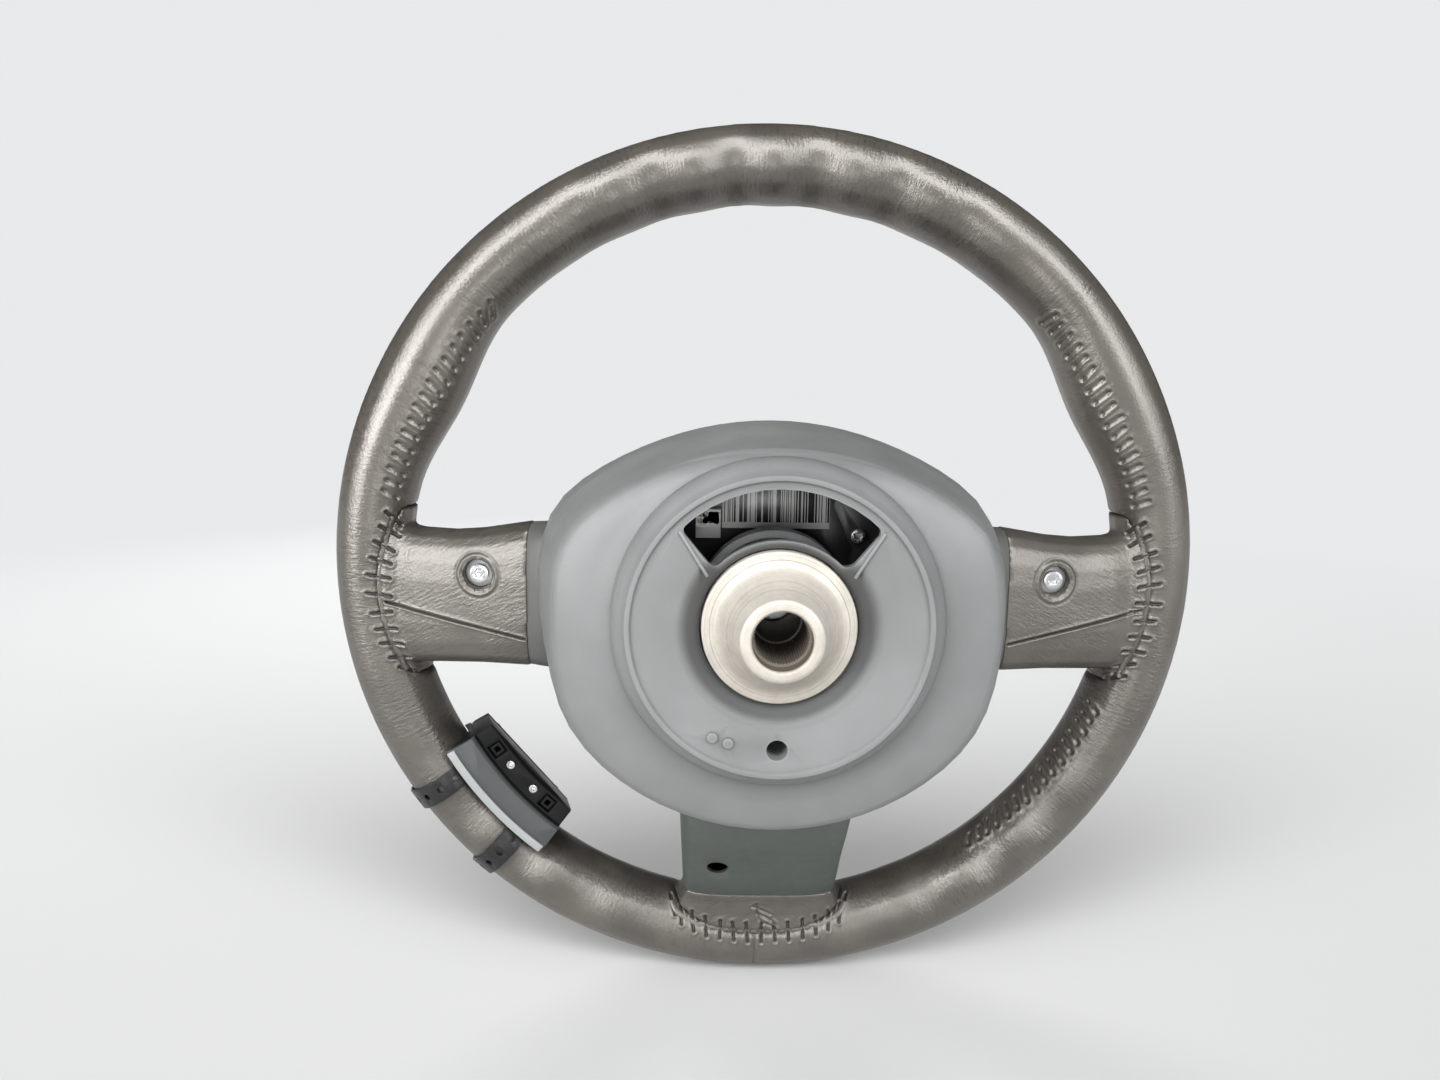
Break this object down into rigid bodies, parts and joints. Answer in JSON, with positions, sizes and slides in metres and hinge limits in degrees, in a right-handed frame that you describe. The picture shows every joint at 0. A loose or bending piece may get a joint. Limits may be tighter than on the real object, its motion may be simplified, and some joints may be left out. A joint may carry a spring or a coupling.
{
  "type": "car steering wheel",
  "caption": "Round leather-wrapped car steering wheel with dished side and lower spokes, a splined hub, a rear cover, a horn pad with airbag and a strap-on remote.",
  "frame": {"origin": "on the steering column bore's axis, in the middle of its smooth pilot length", "axes": "+Y along the column bore, away from the driver and towards the column; +Z to 12 o'clock; +X to the driver's right"},
  "size_m": [0.3694, 0.1414, 0.3694],
  "materials": {
    "grip_leather": "grained, worn shiny where hands hold it",
    "armature_metal": "as cast",
    "hub_metal": "turned, bright",
    "cover_plastic": "fine moulded grain",
    "spoke_plastic": "fine moulded grain",
    "trim_plastic": "satin paint",
    "pad_plastic": "soft moulded grain",
    "housing_metal": "matt black",
    "bag_fabric": "woven, uncoated",
    "inflator_metal": "drawn",
    "plug_plastic": "smooth",
    "connector_plastic": "smooth",
    "label_film": "printed stripes",
    "fastener_steel": "zinc plated",
    "contact_brass": "bright",
    "remote_black": "fine moulded grain",
    "remote_grey": "satin",
    "remote_silver": "bright satin",
    "key_rubber": "matt",
    "strap_rubber": "matt"
  },
  "bodies": {
    "wheel": {"rim_grip": "grip_leather", "armature": "armature_metal", "hub_boss": "hub_metal", "rear_cover": "cover_plastic", "left_spoke_leather": "grip_leather", "right_spoke_leather": "grip_leather", "lower_spoke_leather": "grip_leather", "left_spoke_collar": "cover_plastic", "right_spoke_collar": "cover_plastic", "lower_spoke_cover": "spoke_plastic", "left_spoke_trim": "trim_plastic", "right_spoke_trim": "trim_plastic", "lower_spoke_trim": "trim_plastic", "left_trim_screw": "fastener_steel", "right_trim_screw": "fastener_steel", "lower_trim_screw": "fastener_steel", "left_cover_screw": "fastener_steel", "right_cover_screw": "fastener_steel", "lower_cover_screw": "fastener_steel", "left_horn_post": "contact_brass", "right_horn_post": "contact_brass", "lower_horn_post": "contact_brass", "left_horn_spring": "fastener_steel", "right_horn_spring": "fastener_steel", "lower_horn_spring": "fastener_steel", "remote_holder": "remote_black", "remote_back": "remote_grey", "remote_stripe": "remote_silver", "remote_front": "remote_black", "upper_holder_screw": "fastener_steel", "lower_holder_screw": "fastener_steel", "upper_strap": "strap_rubber", "lower_strap": "strap_rubber"},
    "airbag_module": {"airbag_cover": "pad_plastic", "airbag_housing": "housing_metal", "folded_airbag": "bag_fabric", "inflator": "inflator_metal", "inflator_plug": "plug_plastic", "module_label": "label_film", "window_plug": "connector_plastic", "cable_bracket": "housing_metal", "bracket_screw": "fastener_steel", "left_guide_pin": "fastener_steel", "right_guide_pin": "fastener_steel", "lower_guide_pin": "fastener_steel", "left_horn_contact": "contact_brass", "right_horn_contact": "contact_brass", "lower_horn_contact": "contact_brass"},
    "key_1": {"remote_key_1": "key_rubber"},
    "key_2": {"remote_key_2": "key_rubber"},
    "key_3": {"remote_key_3": "key_rubber"},
    "key_4": {"remote_key_4": "key_rubber"},
    "key_5": {"remote_key_5": "key_rubber"}
  },
  "joints": [
    {"name": "horn_press", "type": "slide", "parent": "wheel", "child": "airbag_module", "axis": [0, 1, 0], "range_m": [0, 0.0025], "stiffness_N_per_m": 8000, "springref_m": -0.003, "deforming": ["left_horn_spring", "right_horn_spring", "lower_horn_spring"]},
    {"name": "key_1_press", "type": "slide", "parent": "wheel", "child": "key_1", "axis": [0, 1, 0], "range_m": [0, 0.0008], "stiffness_N_per_m": 60, "springref_m": -0.0005},
    {"name": "key_2_press", "type": "slide", "parent": "wheel", "child": "key_2", "axis": [0, 1, 0], "range_m": [0, 0.0008], "stiffness_N_per_m": 60, "springref_m": -0.0005},
    {"name": "key_3_press", "type": "slide", "parent": "wheel", "child": "key_3", "axis": [0, 1, 0], "range_m": [0, 0.0008], "stiffness_N_per_m": 60, "springref_m": -0.0005},
    {"name": "key_4_press", "type": "slide", "parent": "wheel", "child": "key_4", "axis": [0, 1, 0], "range_m": [0, 0.0008], "stiffness_N_per_m": 60, "springref_m": -0.0005},
    {"name": "key_5_press", "type": "slide", "parent": "wheel", "child": "key_5", "axis": [0, 1, 0], "range_m": [0, 0.0008], "stiffness_N_per_m": 60, "springref_m": -0.0005}
  ]
}
